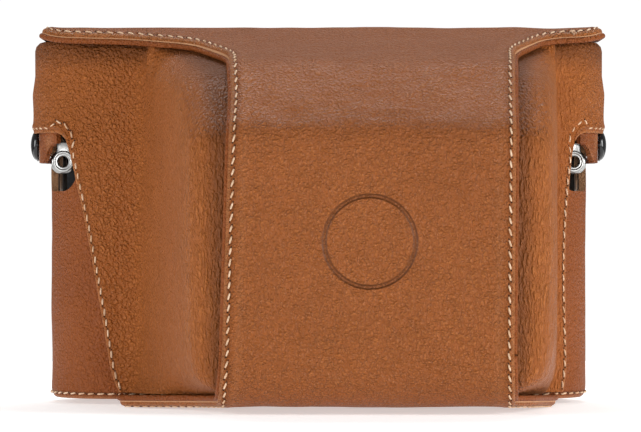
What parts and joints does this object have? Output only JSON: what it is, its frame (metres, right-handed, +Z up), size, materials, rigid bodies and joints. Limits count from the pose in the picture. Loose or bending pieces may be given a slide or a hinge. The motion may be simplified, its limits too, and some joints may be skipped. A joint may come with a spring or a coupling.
{
  "type": "camera ever ready case",
  "caption": "Tan leather camera case: half case with a lens-nosed front cover that hinges open, lug tabs on press studs and a rear closing strap.",
  "frame": {"origin": "centre of the bounding box's underside, which is what the case stands on", "axes": "+X to the right seen from the front, +Y to the back, +Z up; the nose points along -Y"},
  "size_m": [0.1474, 0.1014, 0.0946],
  "materials": {
    "smooth_leather": "smooth waxed tan",
    "grained_leather": "pebble grained tan",
    "suede": "matt suede",
    "board": "pressed fibre board",
    "black_enamel": "gloss black",
    "nickel": "nickel plated",
    "steel": "polished steel"
  },
  "bodies": {
    "half_case": {"half_case_wall": "smooth_leather", "half_case_base": "smooth_leather", "base_board": "board", "half_case_lining": "suede", "floor_lining": "suede", "hinge_flap": "smooth_leather", "lug_plate_left": "black_enamel", "lug_plate_right": "black_enamel", "strap_lug_left": "steel", "strap_lug_right": "steel", "tab_anchor_left": "smooth_leather", "tab_anchor_right": "smooth_leather", "tab_stud_left": "nickel", "tab_stud_right": "nickel", "tab_post_left": "nickel", "tab_post_right": "nickel", "strap_anchor": "smooth_leather"},
    "lug_tab_left": {"lug_tab_left": "smooth_leather", "tab_cap_left": "black_enamel", "tab_socket_left": "nickel"},
    "lug_tab_right": {"lug_tab_right": "smooth_leather", "tab_cap_right": "black_enamel", "tab_socket_right": "nickel"},
    "closing_strap": {"closing_strap": "smooth_leather", "strap_cap": "black_enamel", "strap_socket": "nickel"},
    "front_cover": {"cover_centre_panel": "smooth_leather", "cover_side_left": "grained_leather", "cover_side_right": "grained_leather", "cover_welt_left": "smooth_leather", "cover_welt_right": "smooth_leather", "cover_front_lining": "suede", "nose_lining_left": "suede", "nose_lining_right": "suede", "strap_stud": "nickel", "strap_post": "nickel"}
  },
  "joints": [
    {"name": "cover_hinge", "type": "hinge", "parent": "half_case", "child": "front_cover", "pos_m": [0, 0.00425, 0.00055], "axis": [1, 0, 0], "range_deg": [0, 150]},
    {"name": "left_tab_hinge", "type": "hinge", "parent": "half_case", "child": "lug_tab_left", "pos_m": [-0.0634, 0.04205, 0.0647], "axis": [0, 0, -1], "range_deg": [0, 100]},
    {"name": "right_tab_hinge", "type": "hinge", "parent": "half_case", "child": "lug_tab_right", "pos_m": [0.0634, 0.04205, 0.0647], "axis": [0, 0, 1], "range_deg": [0, 100]},
    {"name": "strap_hinge", "type": "hinge", "parent": "half_case", "child": "closing_strap", "pos_m": [0, 0.04765, 0.06125], "axis": [-1, 0, 0], "range_deg": [0, 150]}
  ]
}
